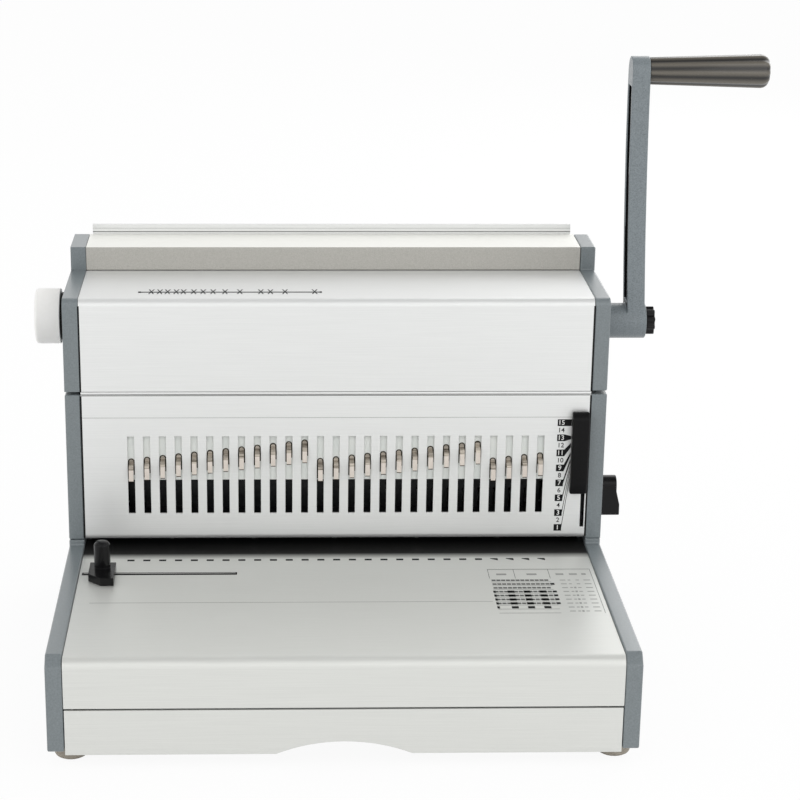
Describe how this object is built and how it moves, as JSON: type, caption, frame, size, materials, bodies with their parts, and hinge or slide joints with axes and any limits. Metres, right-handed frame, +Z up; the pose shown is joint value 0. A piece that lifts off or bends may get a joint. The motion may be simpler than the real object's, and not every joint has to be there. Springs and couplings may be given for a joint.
{
  "type": "comb binding machine",
  "caption": "Manual comb binding machine: slotted front with hook opener, lever-driven punch, paper tray, chip drawer and setting knobs.",
  "frame": {"origin": "on the table, under the middle of the machine's box with the lever up", "axes": "+X to the viewer's right along the punch, +Y to the rear, +Z up"},
  "size_m": [0.6532, 0.4298, 0.5369],
  "materials": {
    "aluminium": "brushed satin, clear anodised",
    "grey_paint": "fine wrinkle blue-grey paint",
    "galvanised": "galvanised sheet",
    "steel": "machined",
    "bronze": "sintered bronze",
    "pale_plate": "pale greenish grey, satin",
    "black_plastic": "moulded, fine texture",
    "grip_plastic": "moulded, fluted",
    "white_plastic": "moulded, satin",
    "rubber": "moulded, dull"
  },
  "bodies": {
    "frame": {"base_side_left": "grey_paint", "base_side_right": "grey_paint", "base_pan": "galvanised", "tray_plate": "aluminium", "foot_front_left": "rubber", "foot_front_right": "rubber", "foot_rear_left": "rubber", "foot_rear_right": "rubber", "lower_cap_left": "grey_paint", "lower_cap_right": "grey_paint", "upper_cap_left": "grey_paint", "upper_cap_right": "grey_paint", "front_panel_lower": "aluminium", "front_panel_upper": "aluminium", "top_bar": "aluminium", "rear_cover": "aluminium", "rear_strip": "aluminium", "lip_screw_1": "steel", "lip_screw_2": "steel", "lip_screw_3": "steel", "lip_screw_4": "steel", "lip_screw_5": "steel", "frame_plate_left": "steel", "frame_plate_right": "steel", "shaft_bush_left": "bronze", "shaft_bush_right": "bronze", "top_tie": "steel", "guide_rod_left": "steel", "guide_rod_right": "steel", "die_plate": "steel", "punch_guide": "steel", "return_spring_left": "steel", "return_spring_right": "steel", "opener_rail_left": "galvanised", "opener_rail_right": "galvanised"},
    "lever": {"main_shaft": "steel", "pinion_left": "steel", "pinion_right": "steel", "handle_arm": "grey_paint", "handle_grip": "grip_plastic", "star_knob": "black_plastic"},
    "ram": {"punch_ram": "steel", "punch_comb": "steel", "rack_left": "steel", "rack_right": "steel"},
    "opener": {"opener_plate": "pale_plate", "hook_strip_a": "steel", "hook_strip_b": "steel", "hook_strip_c": "steel", "slider_stem": "steel", "slider_cap": "black_plastic"},
    "drawer": {"drawer_front": "aluminium", "chip_bin": "galvanised"},
    "guide": {"edge_guide": "black_plastic", "edge_guide_nut": "steel"},
    "margin_setting": {"margin_shaft": "steel", "margin_knob": "black_plastic"},
    "stop": {"margin_stop": "steel"},
    "size_setting": {"size_knob": "white_plastic", "size_spindle": "steel"}
  },
  "joints": [
    {"name": "handle_turn", "type": "hinge", "parent": "frame", "child": "lever", "pos_m": [0.18935, 0.0971, 0.2955], "axis": [1, 0, 0], "range_deg": [0, 85], "stiffness_Nm_per_rad": 2.5, "springref_deg": -22.92},
    {"name": "punch_slide", "type": "slide", "parent": "frame", "child": "ram", "axis": [0, 0, -1], "range_m": [0, 0.0179], "deforming": ["return_spring_left", "return_spring_right"]},
    {"name": "opener_slide", "type": "slide", "parent": "frame", "child": "opener", "axis": [0, 0, -1], "range_m": [0, 0.029]},
    {"name": "drawer_slide", "type": "slide", "parent": "frame", "child": "drawer", "axis": [0, -1, 0], "range_m": [0, 0.22]},
    {"name": "guide_slide", "type": "slide", "parent": "frame", "child": "guide", "axis": [1, 0, 0], "range_m": [0, 0.105]},
    {"name": "margin_turn", "type": "hinge", "parent": "frame", "child": "margin_setting", "pos_m": [0.18935, 0.1111, 0.1322], "axis": [1, 0, 0], "range_deg": [-10, 10]},
    {"name": "stop_slide", "type": "slide", "parent": "frame", "child": "stop", "axis": [0, 1, 0], "range_m": [-0.002, 0.002]},
    {"name": "size_turn", "type": "hinge", "parent": "frame", "child": "size_setting", "pos_m": [-0.29865, 0.1421, 0.2885], "axis": [1, 0, 0], "range_deg": [0, 300]}
  ],
  "couplings": [
    {"joint": "punch_slide", "follows": "handle_turn", "m_per_rad": 0.012},
    {"joint": "margin_turn", "follows": "stop_slide", "rad_per_m": 83.333}
  ]
}
